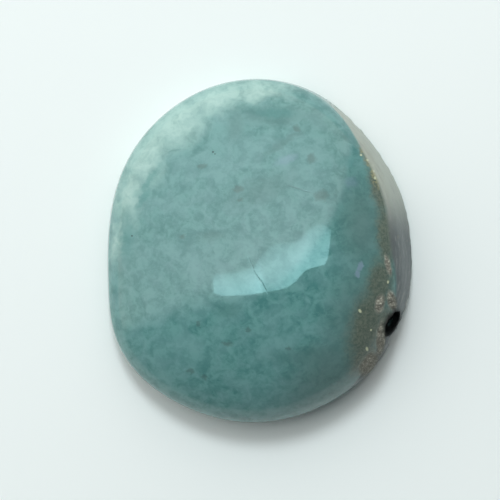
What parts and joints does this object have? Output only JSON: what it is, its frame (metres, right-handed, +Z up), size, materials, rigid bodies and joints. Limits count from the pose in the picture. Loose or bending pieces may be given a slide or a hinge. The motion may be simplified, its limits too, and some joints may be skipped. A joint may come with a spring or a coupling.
{
  "type": "larimar cabochon",
  "caption": "Loose free-form gemstone: a polished dome with an off-centre summit, a slanted and chipped side face with a small cavity, a turned-in girdle and a flat base.",
  "frame": {"origin": "middle of the stone's overall box, on the plane of the flat base it rests on", "axes": "+Z up out of the base to the dome; +Y along the stone's length, towards its rounder end; +X across it, towards the slanted, chipped side"},
  "size_m": [0.0222, 0.025, 0.0066],
  "materials": {
    "larimar": "polished"
  },
  "bodies": {
    "root": {"larimar_cabochon": "larimar"}
  },
  "joints": []
}
